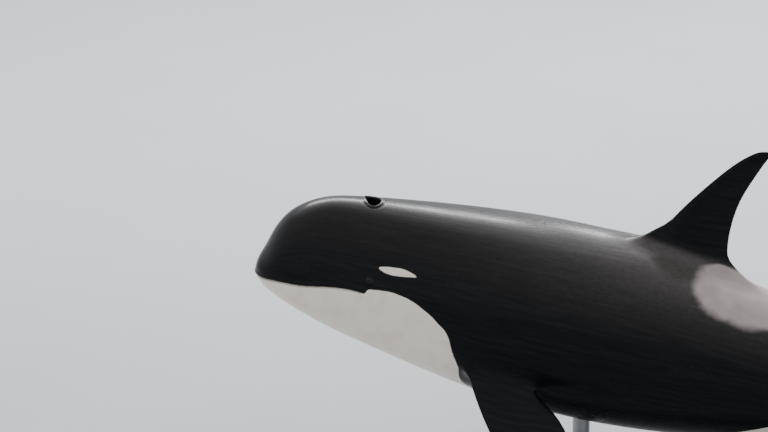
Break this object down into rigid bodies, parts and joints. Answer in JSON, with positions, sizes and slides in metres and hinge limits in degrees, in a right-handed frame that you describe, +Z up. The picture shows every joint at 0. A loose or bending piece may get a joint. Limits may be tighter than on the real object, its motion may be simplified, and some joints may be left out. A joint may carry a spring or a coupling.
{
  "type": "orca",
  "caption": "Still, life-size model of an orca surfacing with its back arched, held over a flat base by short rods.",
  "frame": {"origin": "middle of the model's outer box, at the underside of the stand's base", "axes": "+X from the snout towards the tail flukes, +Y to the animal's right, +Z up"},
  "size_m": [6.1944, 2.103, 2.3628],
  "materials": {
    "skin": "wet black skin with cream chin, throat and eye patches and a grey saddle",
    "eye": "dark brown, wet and glossy",
    "stand_base": "fine-grained satin grey paint",
    "stand_rods": "brushed"
  },
  "bodies": {
    "root": {"head": "skin", "lower_jaw": "skin", "trunk_front": "skin", "trunk_rear": "skin", "tail_stock": "skin", "dorsal_fin": "skin", "flipper_left": "skin", "flipper_right": "skin", "fluke_left": "skin", "fluke_right": "skin", "eye_left": "eye", "eye_right": "eye", "stand_base": "stand_base", "stand_rod_front": "stand_rods", "stand_rod_rear": "stand_rods"}
  },
  "joints": []
}
